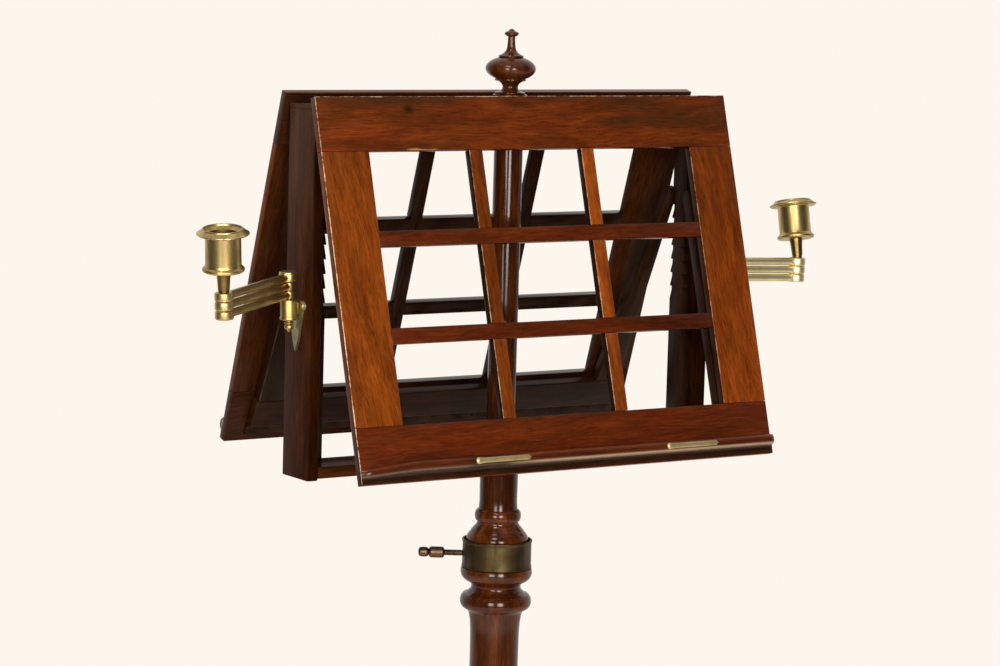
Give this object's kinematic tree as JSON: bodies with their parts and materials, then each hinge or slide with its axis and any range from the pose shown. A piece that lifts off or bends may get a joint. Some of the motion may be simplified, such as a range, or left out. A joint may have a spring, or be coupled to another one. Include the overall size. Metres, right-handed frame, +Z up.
{
  "type": "duet music stand",
  "caption": "Wooden music stand for facing players: back-to-back tilting lattice desks on a swivelling, rising pole, with folding brass candle arms and splayed legs.",
  "frame": {"origin": "on the floor below the pole's axis", "axes": "+Z up along the pole; +X along the desks' hinges, to the right of a player at the front desk; the front desk faces -Y"},
  "size_m": [0.7528, 0.4948, 1.2029],
  "materials": {
    "rail_wood": "polished, worn at the edges",
    "stile_wood": "polished, more orange",
    "inner_wood": "dark, dull",
    "turned_wood": "polished, turned",
    "brass": "aged, polished on high spots",
    "dark_brass": "dark patina",
    "dark_iron": "dark, dull",
    "copper_brown": "reddish brown patina"
  },
  "bodies": {
    "base": {"column": "turned_wood", "leg_1": "turned_wood", "leg_2": "turned_wood", "leg_3": "turned_wood", "collar": "dark_brass"},
    "clamp_pad": {"clamp_pad": "brass"},
    "thumbscrew": {"thumbscrew": "copper_brown"},
    "pole": {"pole": "turned_wood", "finial": "turned_wood"},
    "frame": {"post_left": "rail_wood", "post_right": "rail_wood", "frame_top_rail": "inner_wood", "frame_low_rail": "rail_wood", "rack_left": "inner_wood", "rack_right": "inner_wood", "front_hinge_left": "dark_iron", "front_hinge_right": "dark_iron", "rear_hinge_left": "dark_iron", "rear_hinge_right": "dark_iron", "left_bracket": "brass", "right_bracket": "brass"},
    "front_desk": {"front_top_rail": "rail_wood", "front_bottom_rail": "rail_wood", "front_crossbar_upper": "rail_wood", "front_crossbar_lower": "rail_wood", "front_ledge": "rail_wood", "front_stile_left": "stile_wood", "front_stile_right": "stile_wood", "front_upright_left": "stile_wood", "front_upright_right": "stile_wood", "front_strut_hinge": "dark_iron"},
    "front_strut": {"front_strut_rail": "inner_wood", "front_strut_arm_left": "inner_wood", "front_strut_arm_right": "inner_wood"},
    "front_clip_left": {"front_clip_left": "brass"},
    "front_clip_right": {"front_clip_right": "brass"},
    "rear_desk": {"rear_top_rail": "rail_wood", "rear_bottom_rail": "rail_wood", "rear_crossbar_upper": "rail_wood", "rear_crossbar_lower": "rail_wood", "rear_ledge": "rail_wood", "rear_stile_left": "stile_wood", "rear_stile_right": "stile_wood", "rear_upright_left": "stile_wood", "rear_upright_right": "stile_wood", "rear_strut_hinge": "dark_iron"},
    "rear_strut": {"rear_strut_rail": "inner_wood", "rear_strut_arm_left": "inner_wood", "rear_strut_arm_right": "inner_wood"},
    "rear_clip_left": {"rear_clip_left": "brass"},
    "rear_clip_right": {"rear_clip_right": "brass"},
    "left_arm_1": {"left_arm_1": "brass"},
    "left_arm_2": {"left_arm_2": "brass"},
    "left_arm_3": {"left_arm_3": "brass", "left_cup": "brass"},
    "right_arm_1": {"right_arm_1": "brass"},
    "right_arm_2": {"right_arm_2": "brass"},
    "right_arm_3": {"right_arm_3": "brass", "right_cup": "brass"}
  },
  "joints": [
    {"name": "pole_lift", "type": "slide", "parent": "base", "child": "pole", "axis": [0, 0, 1], "range_m": [0, 0.3]},
    {"name": "frame_swivel", "type": "hinge", "parent": "pole", "child": "frame", "pos_m": [0, 0, 0.9], "axis": [0, 0, 1], "continuous": true},
    {"name": "thumbscrew_turn", "type": "hinge", "parent": "clamp_pad", "child": "thumbscrew", "pos_m": [0, 0, 0.69], "axis": [-0.8329, 0.5534, 0], "range_deg": [0, 720]},
    {"name": "pad_slide", "type": "slide", "parent": "base", "child": "clamp_pad", "axis": [-0.8329, 0.5534, 0], "range_m": [0, 0.00202]},
    {"name": "front_desk_tilt", "type": "hinge", "parent": "frame", "child": "front_desk", "pos_m": [0, -0.02227, 1.13], "axis": [-1, 0, 0], "range_deg": [-14.7, 17]},
    {"name": "front_strut_fold", "type": "hinge", "parent": "front_desk", "child": "front_strut", "pos_m": [0, -0.11587, 0.80782], "axis": [-1, 0, 0], "range_deg": [-6.2, 7]},
    {"name": "front_clip_left_turn", "type": "hinge", "parent": "front_desk", "child": "front_clip_left", "pos_m": [-0.1155, -0.13933, 0.81093], "axis": [0, -0.9603, 0.279], "range_deg": [0, 180]},
    {"name": "front_clip_right_turn", "type": "hinge", "parent": "front_desk", "child": "front_clip_right", "pos_m": [0.1025, -0.13933, 0.81093], "axis": [0, -0.9603, 0.279], "range_deg": [0, 180]},
    {"name": "rear_desk_tilt", "type": "hinge", "parent": "frame", "child": "rear_desk", "pos_m": [0, 0.02243, 1.1329], "axis": [1, 0, 0], "range_deg": [-15.9, 17]},
    {"name": "rear_strut_fold", "type": "hinge", "parent": "rear_desk", "child": "rear_strut", "pos_m": [0, 0.12275, 0.81275], "axis": [1, 0, 0], "range_deg": [-6.7, 7]},
    {"name": "rear_clip_left_turn", "type": "hinge", "parent": "rear_desk", "child": "rear_clip_left", "pos_m": [0.112, 0.1462, 0.81618], "axis": [0, 0.9542, 0.299], "range_deg": [0, 180]},
    {"name": "rear_clip_right_turn", "type": "hinge", "parent": "rear_desk", "child": "rear_clip_right", "pos_m": [-0.112, 0.1462, 0.81618], "axis": [0, 0.9542, 0.299], "range_deg": [0, 180]},
    {"name": "left_arm_1_swing", "type": "hinge", "parent": "frame", "child": "left_arm_1", "pos_m": [-0.2407, 0, 0.9504], "axis": [-0.0647, -0.0378, 0.9972], "range_deg": [-98, 39]},
    {"name": "left_arm_2_swing", "type": "hinge", "parent": "left_arm_1", "child": "left_arm_2", "pos_m": [-0.34025, -0.05817, 0.95015], "axis": [-0.0647, -0.0378, 0.9972], "range_deg": [0, 165]},
    {"name": "left_arm_3_swing", "type": "hinge", "parent": "left_arm_2", "child": "left_arm_3", "pos_m": [-0.24179, -0.00064, 0.96715], "axis": [0.0647, 0.0378, -0.9972], "range_deg": [-37, 95]},
    {"name": "right_arm_1_swing", "type": "hinge", "parent": "frame", "child": "right_arm_1", "pos_m": [0.2407, 0, 0.9504], "axis": [0.0296, -0.0017, 0.9996], "range_deg": [-65, 71]},
    {"name": "right_arm_2_swing", "type": "hinge", "parent": "right_arm_1", "child": "right_arm_2", "pos_m": [0.35572, -0.00643, 0.95539], "axis": [0.0296, -0.0017, 0.9996], "range_deg": [0, 165]},
    {"name": "right_arm_3_swing", "type": "hinge", "parent": "right_arm_2", "child": "right_arm_3", "pos_m": [0.2412, -0.00003, 0.96719], "axis": [-0.0296, 0.0017, -0.9996], "range_deg": [-71, 68]}
  ],
  "couplings": [
    {"joint": "pad_slide", "follows": "thumbscrew_turn", "m_per_rad": 0.00015915},
    {"joint": "front_strut_fold", "follows": "front_desk_tilt", "ratio": 0.4},
    {"joint": "rear_strut_fold", "follows": "rear_desk_tilt", "ratio": 0.4}
  ]
}
